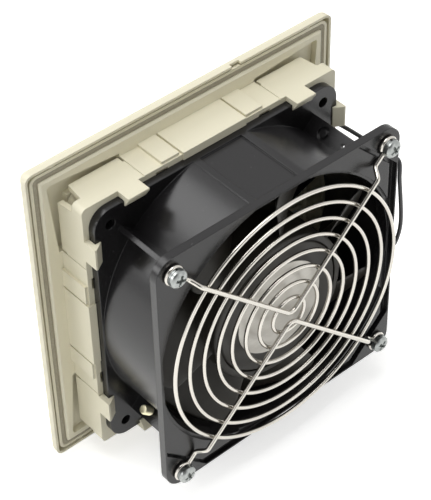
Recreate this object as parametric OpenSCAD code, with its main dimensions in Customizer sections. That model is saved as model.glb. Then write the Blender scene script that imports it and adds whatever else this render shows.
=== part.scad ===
// Enclosure filter fan: a base frame that pushes into a cut-out in a panel, its
// pull-off louvred cover, a filter mat, and an axial fan that eight hooks hold.
// X runs across, Y runs from the cover into the enclosure, and Z is up. The plane
// Y = 0 is the seat that lies on the panel, and the fan turns about the Y axis.
// All lengths are millimetres.

/* [Fan frame] */
// Side of the square fan frame
fan_side = 119.3; // [112:0.1:128]
// Depth of the fan frame along its axis
fan_depth = 38; // [34:0.5:50]
// Thickness of each end flange
fan_flange_t = 3.5; // [2.8:0.1:5]
// Corner radius of the flanges
fan_corner_r = 8; // [4:0.5:10]
// From a flange's edge to the centres of its holes
hole_inset = 7.25; // [6.6:0.05:8.2]
// Diameter of the holes in the flange corners
hole_d = 4.4; // [4.2:0.1:5]
// How far the barrel's flats lie inside the flange edge
flat_inset = 0.35; // [0.2:0.05:1]
// Thinnest wall of the barrel, at its flats
flat_wall = 1.8; // [1.5:0.1:3]
// Radius of the barrel's plain side at +X
side_r = 65; // [62:0.5:80]
// How far each mouth flares outwards from the bore
mouth_flare = 2.5; // [1.5:0.1:3.5]
// Depth of the step round each mouth
mouth_step = 1.2; // [0.8:0.1:2]
// Length of the cone behind each mouth's step
mouth_cone = 5; // [3:0.5:8]
// Wall left round a mouth
mouth_wall = 0.9; // [0.7:0.1:1.5]
// Thickness of the four corner webs
web_t = 2; // [1.6:0.1:4]
// From a web's outer edge to the hole centre in its corner
web_clear = 5.5; // [5:0.1:7]
// Half the distance over a flat's two rails
rail_reach = 13.2; // [10:0.1:13.6]
// Width of each rail
rail_w = 3; // [2:0.1:4]
// Depth of the panel between the rails
rail_recess = 0.4; // [0.2:0.05:0.6]
// Depth of the lead channel in the front flange
channel_d = 2.4; // [1.5:0.1:2.6]
// Width of the lead channel along the edges
channel_w = 4.2; // [3:0.1:5]
// Width of the two narrow ends of the channel
channel_end_w = 1.6; // [1:0.1:2.5]
// Rim left outside the channel
channel_rim = 0.65; // [0.5:0.05:1.2]
// Width of each strut that carries the motor
strut_w = 7; // [5:0.5:10]
// Thickness of the struts and of the motor's base
strut_t = 3; // [2:0.1:4]
// Direction of the first strut
strut_angle = 21; // [0:1:40]

/* [Base frame] */
// Depth of the cage behind the panel seat
cage_depth = 14.6; // [12:0.1:20]
// Thickness of the cage's outer wall
cage_wall = 2.3; // [1.8:0.1:3]
// Clearance round the fan's rear flange
fan_clear = 0.15; // [0.1:0.05:0.3]
// Width of the land that lies on the panel, with its bevel
land_w = 6.8; // [6:0.05:8]
// Width of the bevel along the land's outer edge
land_bevel = 0.8; // [0.3:0.1:1]
// Corner radius of the land
land_corner_r = 1; // [0.8:0.1:2]
// Width of the groove outside the land
rebate_w = 2.1; // [1.5:0.05:4]
// Depth of the groove
rebate_d = 2.2; // [1.5:0.1:3]
// Width of the lip outside the groove
lip_w = 1.35; // [1:0.05:2]
// Corner radius of the lip
lip_corner_r = 3.5; // [2:0.1:5]
// Thickness of the flange
flange_t = 4; // [3.4:0.1:6]
// Gap between the cage wall and the air duct
duct_gap = 1.3; // [1:0.1:2]
// Wall of the air duct
duct_wall = 1.5; // [1.2:0.1:2.5]
// Outer corner radius of the air duct
duct_r = 7; // [4:0.5:10]
// Thickness of the web that joins duct and cage under the fan
seat_web_t = 2; // [1.5:0.1:3]
// Half the distance between the inner ends of two towers
tower_from = 34.1; // [33.5:0.1:36]
// Where a tower's leg ends at the panel
tower_to = 56.8; // [52:0.1:57]
// Where a tower's leg ends above the open corner
tower_top_to = 58; // [57:0.1:58.4]
// Where the lower legs of the upright sides end at the panel
low_leg_to = 59.6; // [58:0.1:59.8]
// Height of the open corner behind the panel seat
corner_open = 8.6; // [5:0.1:10]
// Width of the slit beside each tower
slit_w = 1; // [0.6:0.1:1.4]
// How far the slit cuts right through
slit_through = 3; // [2:0.1:6]
// Depth of the line that carries on from the slit
slit_line_d = 0.3; // [0.2:0.05:0.6]
// Depth of the pockets in the land round the corners
pocket_d = 2.8; // [1.5:0.1:3]
// Radius of the pockets' outer corners
pocket_r = 1.5; // [0.5:0.1:3]
// Half the length of each side's middle spring section
mid_half = 15.3; // [12:0.1:15.8]
// How far the middle section reaches behind the panel seat
mid_reach = 15.4; // [15:0.1:17]
// Where the raised pads begin, from the middle of a side
pad_from = 16.2; // [16:0.1:18]
// Where the raised pads end
pad_to = 24.6; // [22:0.1:28]
// How far the pads stand out from the cage
pad_rise = 1.2; // [0.8:0.1:1.6]
// How far the pads reach behind the panel seat
pad_reach = 14; // [12:0.1:14.5]
// From the middle of a side to each hook's middle
hook_at = 40.9; // [39:0.1:44]
// Width of a hook
hook_w = 9.6; // [6:0.1:12]
// How much higher the hooks of the upright sides lie
hook_shift = 1.6; // [0:0.1:3]
// Clearance between a hook's catch and the fan's flange
catch_clear = 0.1; // [0.05:0.05:0.2]
// How far a hook's nose reaches in from its arm
nose_reach = 2.3; // [1.5:0.1:3]
// Height of a hook's nose above its catch
nose_h = 0.45; // [0.3:0.05:1]
// From a hook's catch to its tip
hook_tip = 2.8; // [2:0.1:6]
// Length of a small slot in the seat web
slot_len = 5.5; // [4:0.1:7]
// Width of a small slot in the seat web
slot_w = 1.5; // [1:0.1:1.8]
// From the middle of a side to a small slot's middle
slot_at = 25.15; // [24:0.05:28]
// Width of the ledge in the duct behind the protective grid
ledge_w = 1.5; // [1:0.1:3]
// Thickness of the ledge
ledge_t = 1.2; // [0.8:0.1:2]
// Thickness of the protective grid
grid_t = 2; // [1.5:0.1:3]
// Width of the grid's bars
grid_bar = 1.8; // [1.2:0.1:3]
// Number of openings along each side of the grid
grid_count = 10; // [6:1:12]

/* [Gasket and filter] */
// Thickness of the gasket in the rebate
gasket_t = 1; // [0.6:0.1:1.4]
// Clearance round the filter mat
mat_clear = 0.5; // [0.3:0.1:1]

/* [Cover] */
// Gap between the flange's edge and the cover's skirt
cover_gap = 0.85; // [0.5:0.05:2]
// Wall of the cover's skirt
cover_wall = 1.05; // [0.8:0.05:1.6]
// How far the skirt's rim lies in front of the panel seat
rim_back = 0.8; // [0.4:0.1:1.5]
// Thickness of the cover's front
cover_t = 1.9; // [1.5:0.1:2.4]
// Corner radius of the cover
cover_corner_r = 3.3; // [3:0.1:8]
// Radius of the cover's front edge
cover_edge_r = 3; // [1:0.1:3.2]
// Clearance between the cover and the flange behind it
cover_seat = 0.1; // [0.05:0.05:0.3]
// How far the louvred field stands out from the cover
field_rise = 2; // [1:0.1:4]
// Margin from the cover's side to the louvred field
field_margin = 12.5; // [12:0.1:14]
// Width of the bevel round the louvred field
field_bevel = 2; // [0.5:0.1:2.2]
// Frame left round the louvre opening
louvre_frame = 3; // [2:0.1:5]
// Number of louvre slats
slat_count = 14; // [10:1:15]
// Thickness of a slat
slat_t = 1.7; // [1.2:0.1:2]
// Depth of a slat from front to back
slat_d = 2.8; // [2:0.1:3.2]
// How far a slat climbs from front to back
slat_rise = 2.4; // [1:0.1:3]
// How far the slats' front edges lie behind the field's face
slat_inset = 0.3; // [0.1:0.1:1]
// Width of the bars that carry the slats
slat_bar = 2; // [1.5:0.1:3]
// Width of a clip that holds the cover on the flange
clip_w = 2; // [1.5:0.1:6]
// From the middle of a side to each clip
clip_at = 62; // [50:0.1:63]
// Clearance between a clip and the flange
clip_clear = 0.15; // [0.05:0.05:0.3]
// Width of the notch for prising the cover off
notch_w = 4.5; // [3:0.1:10]
// Depth of the notch
notch_d = 1.6; // [1:0.1:2]
// Place of the notch along the top edge
notch_at = -24.8; // [-40:0.1:40]

/* [Impeller and motor] */
// Gap between the blade tips and the bore
tip_gap = 1.5; // [1:0.1:3]
// Number of blades
blade_count = 7; // [5:1:9]
// Thickness of a blade
blade_t = 1.3; // [1:0.1:2]
// How far the blades' front edges lie inside the frame
blade_inset = 4; // [3:0.1:8]
// Depth of a blade along the axis
blade_depth = 22; // [16:0.5:24]
// Angle that a blade sweeps through
blade_sweep = 46; // [30:1:48]
// How far a blade's root leads its tip
blade_lead = 4; // [0:1:10]
// Radius of a blade's outer corners
blade_corner_r = 8; // [4:0.5:10]
// Direction of the first blade's front corner
blade_angle = 90; // [0:1:120]
// Outer diameter of the impeller's hub ring
hub_d = 64.6; // [62.5:0.1:70]
// Wall of the impeller's hub ring
hub_wall = 2.75; // [2:0.05:4]
// Wall of the rotor cup
cup_wall = 1.5; // [1.2:0.1:2]
// How far the rotor's face lies inside the frame
cup_inset = 2; // [1:0.1:4]
// Depth of the rotor cup
cup_depth = 29; // [26:0.5:31]
// Diameter of the blank disc on the rotor's face
disc_d = 41.6; // [30:0.1:50]
// Thickness of the blank disc
disc_t = 0.4; // [0.2:0.1:0.8]
// Diameter of the rotor's shaft
shaft_d = 4; // [3:0.1:5]
// Radial running clearance of the shaft
shaft_clear = 0.03; // [0.01:0.01:0.08]
// Outer diameter of a ball bearing
bearing_d = 13; // [12:0.1:14]
// Width of a ball bearing
bearing_w = 5; // [4:0.1:6]
// Wall of the bearing tube
tube_wall = 2; // [1.5:0.1:3]
// Length of the bearing tube
tube_len = 28; // [26:0.5:30]
// Air gap between stator and rotor
air_gap = 0.4; // [0.3:0.05:0.8]
// Radial thickness of the rotor's conductor ring
rotor_ring_w = 4; // [3:0.1:5]
// Height of the stator's stack
stack_h = 13; // [10:0.5:15]
// Number of stator slots
slot_count = 8; // [6:1:10]
// Height of the windings beyond the stack
winding_over = 3; // [2:0.1:3.5]
// Thickness of the clip on the shaft
shaft_clip_t = 0.6; // [0.4:0.1:0.9]

/* [Finger guard] */
// Number of guard rings
guard_count = 8; // [6:1:9]
// Radius of the innermost ring
guard_first_r = 8; // [6:0.1:12]
// How far the outermost ring lies inside the bore
guard_inset = 1.3; // [0.5:0.1:4]
// Wire diameter of the rings
guard_wire_d = 1.7; // [1.4:0.1:2.2]
// Wire diameter of the spokes
spoke_d = 1.9; // [1.6:0.1:2.4]
// Height of the rings' plane above the frame
guard_rise = 3.5; // [3:0.1:6]
// Depth of the weld where rings and spokes cross
weld_depth = 0.05; // [0.02:0.01:0.1]
// How far each bent spoke's middle stays from the axis
spoke_offset = 2.8; // [2:0.1:5]
// Bend radius in the middle of a spoke
spoke_bend_r = 3.5; // [3:0.1:6]
// Where a spoke leaves the flange, from its screw
joggle_from = 8.5; // [8:0.1:10]
// Where it reaches its full height, from its screw
joggle_to = 13.1; // [12:0.1:15]
// Radius of the loop round each screw
eyelet_r = 3.4; // [3.1:0.05:3.6]

/* [Fasteners] */
// Diameter of a screw head
head_d = 7.4; // [7:0.1:9]
// Height of a screw head
head_h = 2.3; // [1.8:0.1:3]
// Length of a screw under its head
screw_len = 8; // [7:0.5:16]
// Width of the cross recess
recess_w = 0.9; // [0.6:0.1:1.2]
// Length of the cross recess
recess_len = 4.4; // [3:0.1:5]
// Depth of the cross recess
recess_d = 1.3; // [0.8:0.1:1.6]
// Thickness of a spring washer
washer_t = 0.9; // [0.6:0.1:1.2]
// Outer diameter of a spring washer
washer_d = 7.6; // [6.8:0.1:8]
// Width of the split in a spring washer
washer_split = 0.9; // [0.5:0.1:1.5]
// Diameter of the earth screw
earth_d = 4; // [3.5:0.1:4.2]
// Length of the earth screw under its head
earth_len = 7.9; // [6:0.1:12]
// Diameter of the earth screw's head and washer
earth_seat_d = 6.6; // [6:0.1:7]
// Clearance between that washer and the barrel
earth_clear = 0.2; // [0.1:0.05:0.5]
// From the fan frame's rear face to the earth screw
earth_at = 12; // [10:0.1:20]
// Diameter of the ring round the stub in the opposite web
stub_ring_d = 5.4; // [4.5:0.1:5.6]
// Diameter of the stub in the opposite web
stub_d = 3.2; // [2:0.1:3.6]
// Diameter of the small hole in the opposite web
pin_hole_d = 1.8; // [1.2:0.1:2.4]
// From the fan frame's rear face to the small hole
pin_hole_at = 22.5; // [20:0.1:24]

/* [Lead and terminals] */
// Outer diameter of the lead
lead_d = 1.7; // [1.4:0.1:2]
// Width of the terminal block across the cage wall
block_w = 5.6; // [5:0.1:6]
// Length of the terminal block
block_len = 13; // [11:0.1:15]
// Depth of the terminal block
block_h = 6; // [5:0.1:6.4]
// From the panel seat to the terminal block
block_from = 2.5; // [2:0.1:3]
// From the fan's axis up to the middle of the terminal block
block_at = 37.7; // [36:0.1:40]
// Diameter of a terminal screw
block_screw_d = 2.6; // [2:0.1:3]
// How far the terminal screws' heads stand up
block_screw_h = 0.4; // [0.2:0.1:0.8]
// Size of the fan's terminal housing across the barrel
socket_w = 5; // [4:0.1:6]
// Length of the fan's terminal housing
socket_len = 8; // [6:0.1:9]

/* [Hidden] */
$fn = 96;

// Overrun of cuts, and the play between pieces that are pressed together
over = 1;
fit_gap = 0.05;
hull_fn = 32;

// Places that follow from the fan frame
fan_half = fan_side / 2;
fan_back = cage_depth;
fan_front = fan_back + fan_depth;
flat_half = fan_half - flat_inset;
bore_r = flat_half - flat_wall;
mouth_r = bore_r + mouth_flare;
barrel_r = mouth_r + mouth_wall;
mouth_half = flat_half - mouth_wall + flat_inset / 2;
hole_at = fan_half - hole_inset;
hole_r = hole_d / 2;
screw_r = hole_r - fit_gap;
corner_reach = hole_at * sqrt(2);
web_r = corner_reach - web_clear;
earth_r = barrel_r + earth_seat_d / 2 + earth_clear;
earth_core_r = earth_d * 0.43;
flange_in_front = fan_front - fan_flange_t;
flange_in_back = fan_back + fan_flange_t;

// Places that follow from the cage
cage_in = fan_half + fan_clear;
cage_half = cage_in + cage_wall;
cage_edge_r = cage_wall;
pad_half = cage_half + pad_rise;
land_half = cage_half + land_w;
lip_in = land_half + rebate_w;
flange_half = lip_in + lip_w;
gasket_top = gasket_t - rebate_d;
duct_out = cage_in - duct_gap;
duct_in = duct_out - duct_wall;
catch_at = flange_in_back + catch_clear;
grid_from = grid_t;
grid_to = grid_from + grid_t;
duct_in_r = duct_r - duct_wall;

// Places that follow from the cover
skirt_in = flange_half + cover_gap;
cover_half = skirt_in + cover_wall;
front_in = -flange_t - cover_seat;
front_at = front_in - cover_t;
field_at = front_at - field_rise;
field_half = cover_half - field_margin;
louvre_half = field_half - field_bevel - louvre_frame;
slat_front = field_at + slat_inset;
slat_back = field_at + slat_d;

// Places that follow from the motor
cup_face = fan_front - cup_inset;
cup_back = cup_face - cup_depth;
tube_from = fan_back;
tube_to = tube_from + tube_len;
bearing_r = bearing_d / 2;
tube_out = bearing_r + tube_wall;
hub_in = hub_d / 2 - hub_wall;
cup_r = hub_in - fit_gap;
cup_in = cup_r - cup_wall;
ring_out = cup_in - fit_gap;
ring_in = ring_out - rotor_ring_w;
stator_r = ring_in - air_gap;
stack_from = fan_back + strut_t + winding_over * 2;
stack_to = stack_from + stack_h;
slot_mid_r = (tube_out + stator_r) / 2;
slot_r = slot_mid_r * sin(180 / slot_count) / 2;
tip_r = bore_r - tip_gap;

// Places that follow from the guard
ring_plane = fan_front + guard_rise;
spoke_plane = ring_plane + guard_wire_d / 2 + spoke_d / 2 - weld_depth;
eyelet_plane = fan_front + spoke_d / 2;
washer_from = fan_front + spoke_d;
head_from = washer_from + washer_t;

// The lead's route: from the terminal block beside the cage, along the fan, down past
// the front flange, and back behind it to the fan's own terminals
lead_route = [
    [-64.9, 8.5, 33.2], [-64.9, 10, 33.2], [-65.1, 12, 32.8], [-65.5, 15, 32.4],
    [-65.5, 20, 32.9], [-65, 26.6, 33.8],
    [-64.6, 32.6, 34.3], [-64.3, 38.4, 34.7], [-63.8, 43.2, 35.6], [-63.2, 47, 36.8],
    [-62.6, 49.8, 37.6], [-62.2, 51.2, 36.4], [-62.2, 51.5, 33.6], [-62.3, 51.5, 29.6],
    [-63, 51.5, 23.8], [-63.8, 51.5, 17.3], [-64.5, 51.5, 10.6], [-64.7, 51.5, 4.1],
    [-64.1, 51.2, -1.6], [-63.3, 50, -7], [-62.4, 47.2, -12.3], [-61.6, 42.6, -16.8],
    [-60.6, 37.4, -19.7], [-59.6, 33, -21.4], [-59.2, 29.6, -22], [-59.2, 26.6, -22]
];
lead_sides = 8;
lead_steps = 2;

// Shares of a screw head's radius and height along its domed profile
dome_shares = [[0, 0], [1, 0], [1, 0.42], [0.95, 0.66], [0.8, 0.86], [0.55, 0.97], [0, 1]];
// Shares of a blade's chord at which its sections lie
chord_shares = [0, 0.02, 0.06, 0.13, 0.25, 0.4, 0.55, 0.7, 0.84, 0.93, 0.98, 1];
// Shares of a blade's span at which its points lie
span_shares = [0, 0.35, 0.7, 0.9, 1];

function unit(v) = v / norm(v);
function along(points, i) = unit(points[min(i + 1, len(points) - 1)] - points[max(i - 1, 0)]);
function square_to(v, t) = unit(v - (v * t) * t);

// Directions square to a path, each carried on from the one before it
function carried(points, start, i = 0) =
    i >= len(points) ? [] :
    let (n = square_to(start, along(points, i)))
    concat([n], carried(points, n, i + 1));

// Point between b and c on a smooth curve through a, b, c and d
function smooth(a, b, c, d, t) =
    (2 * b + (c - a) * t + (2 * a - 5 * b + 4 * c - d) * t * t
    + (3 * b - a - 3 * c + d) * t * t * t) / 2;
function smooth_path(p, steps) = concat([for (i = [0 : len(p) - 2], s = [0 : steps - 1])
    smooth(p[max(i - 1, 0)], p[i], p[i + 1], p[min(i + 2, len(p) - 1)], s / steps)],
    [p[len(p) - 1]]);

// Solid through a list of rings that have the same even number of points
module loft(rings) {
    n = len(rings[0]);
    last = (len(rings) - 1) * n;
    points = [for (ring = rings) each ring];
    sides = [for (i = [0 : len(rings) - 2], k = [0 : n - 1])
        let (a = i * n + k, b = i * n + (k + 1) % n)
        each [[a, a + n, b + n], [a, b + n, b]]];
    caps = [for (k = [0 : n / 2 - 2]) each [[k, k + 1, n - 2 - k], [k, n - 2 - k, n - 1 - k],
        [last + n - 2 - k, last + k + 1, last + k], [last + n - 1 - k, last + n - 2 - k, last + k]]];
    polyhedron(points = points, faces = concat(sides, [for (f = caps) if (f[0] != f[1] && f[1] != f[2]) f]));
}

// Round wire along a path
module wire(points, r, sides, start) {
    normals = carried(points, start);
    loft([for (i = [0 : len(points) - 1])
        let (n = normals[i], b = cross(along(points, i), n))
        [for (k = [0 : sides - 1]) points[i] + r * (cos(360 * (k + 0.5) / sides) * n
            + sin(360 * (k + 0.5) / sides) * b)]]);
}

module rounded_square(half, r) {
    for (turn = [0 : 1]) rotate(90 * turn) square([2 * (half - r), 2 * half], center = true);
    for (sx = [-1, 1], sz = [-1, 1]) translate([sx * (half - r), sz * (half - r)]) circle(r);
}

// Plate that lies square to Y between two places
module plate(from_y, to_y) {
    translate([0, to_y, 0]) rotate([90, 0, 0]) linear_extrude(height = to_y - from_y) children();
}

// Profile in the plane of Y and Z, carried along X about the middle
module across(length) {
    rotate([90, 0, 90]) linear_extrude(height = length, center = true) children();
}

// Profile of radius and place along Y, turned about Y
module turned() {
    rotate([-90, 0, 0]) rotate_extrude() children();
}

module ring_y(from_y, to_y, r_out, r_in) {
    plate(from_y, to_y) difference() {
        circle(r_out);
        circle(r_in);
    }
}

module four_sides() {
    for (turn = [0 : 3]) rotate([0, 90 * turn, 0]) children();
}

module rail_sides() {
    for (turn = [0, 2, 3]) rotate([0, 90 * turn, 0]) children();
}

module at_holes(y) {
    for (sx = [-1, 1], sz = [-1, 1]) translate([sx * hole_at, y, sz * hole_at]) children();
}

module square_ring(from_y, to_y, half_out, r_out, half_in, r_in) {
    plate(from_y, to_y) difference() {
        rounded_square(half_out, r_out);
        rounded_square(half_in, r_in);
    }
}

// One side of the cage, the top one: legs of two towers, middle wall, pads and hooks
module cage_side_wall() {
    translate([0, 0, cage_in]) linear_extrude(height = cage_wall) union() {
        for (s = [0 : 1]) mirror([s, 0]) polygon([[tower_from, 0], [tower_to, 0],
            [tower_top_to, corner_open], [tower_top_to, cage_depth], [tower_from, cage_depth]]);
        translate([-tower_from + slit_w, -flange_t / 2])
            square([2 * (tower_from - slit_w), cage_depth + flange_t / 2]);
        for (s = [0 : 1]) mirror([s, 0]) translate([tower_from - slit_w - over, slit_through])
            square([slit_w + 2 * over, cage_depth - slit_through]);
        translate([-mid_half, 0]) square([2 * mid_half, mid_reach]);
    }
    translate([-mid_half, 0, cage_half - cage_wall / 2])
        cube([2 * mid_half, mid_reach, pad_rise + cage_wall / 2]);
    for (s = [0 : 1]) mirror([s, 0, 0]) {
        translate([pad_from, 0, cage_half - cage_wall / 2])
            cube([pad_to - pad_from, pad_reach, pad_rise + cage_wall / 2]);
    }
}

// Hooks that hold the fan: those on the two upright sides lie a little higher
module cage_hooks() {
    for (turn = [0 : 3], s = [-1, 1]) rotate([0, 90 * turn, 0])
        translate([s * hook_at - hook_shift * sin(90 * turn), 0, 0]) across(hook_w) polygon([
            [cage_depth - seat_web_t, cage_in], [cage_depth - seat_web_t, cage_half],
            [catch_at + hook_tip, cage_half], [catch_at + hook_tip, cage_half - cage_wall / 3],
            [catch_at + nose_h, cage_in - nose_reach], [catch_at, cage_in - nose_reach],
            [catch_at, cage_in]]);
}

// Lower legs of the two upright sides, which reach further down to the flange
module low_legs() {
    for (s = [0 : 1]) mirror([s, 0, 0]) rotate([0, 90, 0]) translate([0, 0, cage_in])
        linear_extrude(height = cage_wall) polygon([[tower_to - over, 0], [low_leg_to, 0],
            [low_leg_to, corner_open + over], [tower_to - over, corner_open + over]]);
}

// Cuts on the top side: lines beside the towers and slots in the seat web
module cage_side_cuts() {
    for (s = [0 : 1]) mirror([s, 0, 0]) {
        translate([tower_from - slit_w, slit_through - over, cage_half - slit_line_d])
            cube([slit_w / 2, cage_depth - slit_through + 2 * over, slit_line_d + over]);
        translate([slot_at - slot_len / 2, cage_depth - seat_web_t - over, duct_out + slit_line_d])
            cube([slot_len, seat_web_t + 2 * over, slot_w]);
    }
}

// Pocket in the land round the corner between the top and the positive X side
module corner_pocket() {
    inner = duct_out - duct_wall / 2;
    near = cage_half + land_w / 5;
    far = cage_half + land_w * 0.58;
    plate(-pocket_d, over) difference() {
        union() {
            polygon([[tower_from - slit_w, inner], [tower_from - slit_w, near], [far - pocket_r, far],
                [far, far - pocket_r], [near, tower_from - slit_w], [inner, tower_from - slit_w],
                [inner, inner]]);
            translate([far - pocket_r, far - pocket_r]) circle(pocket_r);
        }
    }
}

module base_frame() {
    color("#E4E0CE") difference() {
        union() {
            difference() {
                union() {
                    square_ring(-flange_t, 0, land_half, land_corner_r, duct_in, duct_in_r);
                    square_ring(-flange_t, -rebate_d, flange_half, lip_corner_r, duct_in, duct_in_r);
                    square_ring(-flange_t, gasket_top, flange_half, lip_corner_r,
                        lip_in, lip_corner_r - lip_w);
                }
                four_sides() corner_pocket();
                four_sides() across(2 * flange_half) polygon([[-land_bevel, land_half],
                    [over, land_half - land_bevel - over], [over, flange_half], [-land_bevel, flange_half]]);
            }
            square_ring(-flange_t, cage_depth, duct_out, duct_r, duct_in, duct_in_r);
            square_ring(grid_to, grid_to + ledge_t, duct_in + duct_wall / 2, duct_in_r,
                duct_in - ledge_w, duct_in_r - ledge_w);
            square_ring(corner_open, cage_depth, cage_half, cage_edge_r, cage_in, cage_edge_r / 2);
            square_ring(cage_depth - seat_web_t, cage_depth, cage_in + cage_wall / 2, cage_edge_r,
                duct_out - duct_wall / 2, duct_r);
            four_sides() cage_side_wall();
            cage_hooks();
            low_legs();
        }
        four_sides() cage_side_cuts();
    }
}

// Grid that lies in the duct against the ledge
module duct_grid() {
    half = duct_in - fit_gap;
    cell = 2 * half / grid_count;
    color("#DCD8C6") {
        square_ring(grid_from, grid_to, half, duct_in_r, half - grid_bar, duct_in_r - grid_bar);
        for (i = [1 : grid_count - 1]) {
            translate([grid_bar / 2 - half, grid_from, i * cell - half - grid_bar / 2])
                cube([2 * half - grid_bar, grid_t, grid_bar]);
            translate([i * cell - half - grid_bar / 2, grid_from, grid_bar / 2 - half])
                cube([grid_bar, grid_t, 2 * half - grid_bar]);
        }
    }
}

module flange_gasket() {
    color("#B9B6A6") square_ring(-rebate_d, gasket_top, lip_in - fit_gap, lip_corner_r - lip_w,
        land_half + fit_gap, land_corner_r);
}

module filter_mat() {
    color("#E9EAE6") plate(slat_back + mat_clear / 2, grid_from)
        rounded_square(duct_in - mat_clear, duct_in_r);
}

// Outline of the cover's rounded front edge, for one corner
module cover_corner(half, corner_r, edge_r, from_y, to_y) {
    for (sx = [-1, 1], sz = [-1, 1])
        translate([sx * (half - corner_r), 0, sz * (half - corner_r)])
        rotate([-90, 0, 0]) rotate_extrude($fn = hull_fn) polygon(concat(
            [[0, to_y], [0, from_y]],
            [for (a = [0 : 15 : 90]) [corner_r - edge_r + edge_r * sin(a), from_y + edge_r - edge_r * cos(a)]],
            [[corner_r, to_y]]));
}

module front_cover() {
    pitch = 2 * louvre_half / slat_count;
    color("#E8E5D4") {
        difference() {
            union() {
                hull() cover_corner(cover_half, cover_corner_r, cover_edge_r, front_at, -rim_back);
                hull() cover_corner(field_half, cover_corner_r, field_bevel, field_at, front_at + over);
            }
            plate(front_in, 0) rounded_square(skirt_in, cover_corner_r - cover_wall);
            plate(field_at + cover_t, front_in + over)
                rounded_square(field_half - field_bevel, cover_corner_r - cover_wall);
            plate(field_at - over, front_in) square(2 * louvre_half, center = true);
            translate([notch_at - notch_w / 2, -rim_back - notch_d, skirt_in - over])
                cube([notch_w, notch_d + over, cover_wall + 2 * over]);
        }
        for (i = [0 : slat_count - 1])
            translate([0, 0, i * pitch - louvre_half + (pitch - slat_t - slat_rise) / 2])
            across(2 * louvre_half + louvre_frame / 2) polygon([
                [slat_front, 0], [slat_front, slat_t], [slat_back, slat_t + slat_rise], [slat_back, slat_rise]]);
        for (i = [-1 : 1]) translate([i * louvre_half / 2 - slat_bar / 2, field_at + slat_d / 3,
            -louvre_half - louvre_frame / 2])
            cube([slat_bar, slat_d / 3, 2 * louvre_half + louvre_frame]);
        for (turn = [0 : 1], s = [-1, 1]) rotate([0, 180 * turn, 0])
            translate([s * clip_at - clip_w / 2, front_in - cover_t / 8, flange_half + clip_clear])
            cube([clip_w, gasket_top - front_in + cover_t / 8,
                cover_gap - clip_clear + cover_wall / 4]);
    }
}

// Motor struts and the lead channel run in the fan frame; its barrel is clipped by flats,
// and at +X by a gentle curve
module fan_frame() {
    narrow = hole_at * 2 - web_clear * 1.08;
    edge = fan_half - channel_rim;
    inner = edge - channel_w;
    wide_in = narrow - channel_w * sqrt(2);
    end_in = narrow - channel_end_w * sqrt(2);
    color("#2B2A2A") difference() {
        union() {
            plate(fan_back, flange_in_back) rounded_square(fan_half, fan_corner_r);
            plate(flange_in_front, fan_front) rounded_square(fan_half, fan_corner_r);
            plate(fan_back + fan_flange_t / 2, fan_front - fan_flange_t / 2) intersection() {
                circle(barrel_r);
                square(2 * flat_half, center = true);
                translate([flat_half - side_r, 0]) circle(side_r);
            }
            for (turn = [0 : 3]) rotate([0, 45 + 90 * turn, 0])
                translate([barrel_r - mouth_flare, fan_back + fan_flange_t / 2, -web_t / 2])
                cube([web_r - barrel_r + mouth_flare, fan_depth - fan_flange_t, web_t]);
            rail_sides() for (s = [-1, 1])
                translate([s * (rail_reach - rail_w / 2) - rail_w / 2, fan_back + fan_flange_t / 2, flat_half - flat_wall / 2])
                cube([rail_w, fan_depth - fan_flange_t, flat_wall / 2 + flat_inset]);
        }
        difference() {
            plate(fan_back - over, fan_front + over) circle(bore_r);
            plate(fan_back - 2 * over, fan_back + strut_t) circle(hub_d / 2);
            for (turn = [0 : 3]) rotate([0, strut_angle + 90 * turn, 0])
                translate([0, fan_back - 2 * over, -strut_w / 2])
                cube([barrel_r, strut_t + 2 * over, strut_w]);
        }
        plate(fan_back - 3 * over, fan_back) square(fan_side, center = true);
        plate(fan_front - mouth_step, fan_front + over) intersection() {
            circle(mouth_r);
            square(2 * mouth_half, center = true);
        }
        turned() polygon([[bore_r - over, fan_front - mouth_step - mouth_cone],
            [bore_r, fan_front - mouth_step - mouth_cone], [mouth_r - mouth_step, fan_front - mouth_step],
            [mouth_r - mouth_step, fan_front], [bore_r - over, fan_front]]);
        ring_y(fan_back - over, fan_back + mouth_step, (bore_r + mouth_r) / 2, bore_r - over);
        plate(tube_from - over, tube_from + strut_t + over) circle(tube_out + fit_gap);
        at_holes(0) plate(fan_back - over, fan_front + over) circle(hole_r);
        rail_sides() translate([rail_w - rail_reach, flange_in_back, flat_half - rail_recess])
            cube([2 * (rail_reach - rail_w), flange_in_front - flange_in_back, flat_wall]);
        plate(fan_front - channel_d, fan_front + over) union() {
            polygon([[-edge, narrow - edge], [-edge, edge - narrow], [-inner, inner - wide_in],
                [-inner, end_in - inner]]);
            polygon([[edge - narrow, -edge], [narrow - edge, -edge], [end_in - inner, -inner],
                [inner - wide_in, -inner]]);
            polygon([[-edge, edge - narrow], [edge - narrow, -edge], [inner - wide_in, -inner],
                [-inner, inner - wide_in]]);
            polygon([[-edge, narrow - edge], [edge - narrow, edge], [edge - end_in, edge],
                [-inner, end_in - inner]]);
            polygon([[narrow - edge, -edge], [edge, edge - narrow], [edge, edge - end_in],
                [end_in - inner, -inner]]);
        }
        earth_place() translate([0, 0, -web_t]) cylinder(h = 2 * web_t, r = earth_core_r + fit_gap);
        stub_place(earth_at) difference() {
            cylinder(h = web_t, r = stub_ring_d / 2);
            translate([0, 0, -over]) cylinder(h = web_t + 2 * over, r = stub_d / 2);
        }
        stub_place(pin_hole_at) translate([0, 0, -web_t]) cylinder(h = 3 * web_t, r = pin_hole_d / 2);
    }
}

// Middle of the earth screw's hole in the web at +X and -Z, with Z square to the web
module earth_place() {
    rotate([0, 45, 0]) translate([earth_r, fan_back + earth_at, 0]) children();
}

// Place on the middle of the web at -X and +Z, with Z out of its upper face
module stub_place(y) {
    rotate([0, 225, 0]) rotate([180, 0, 0]) translate([earth_r, -fan_back - y, 0]) children();
}

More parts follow.
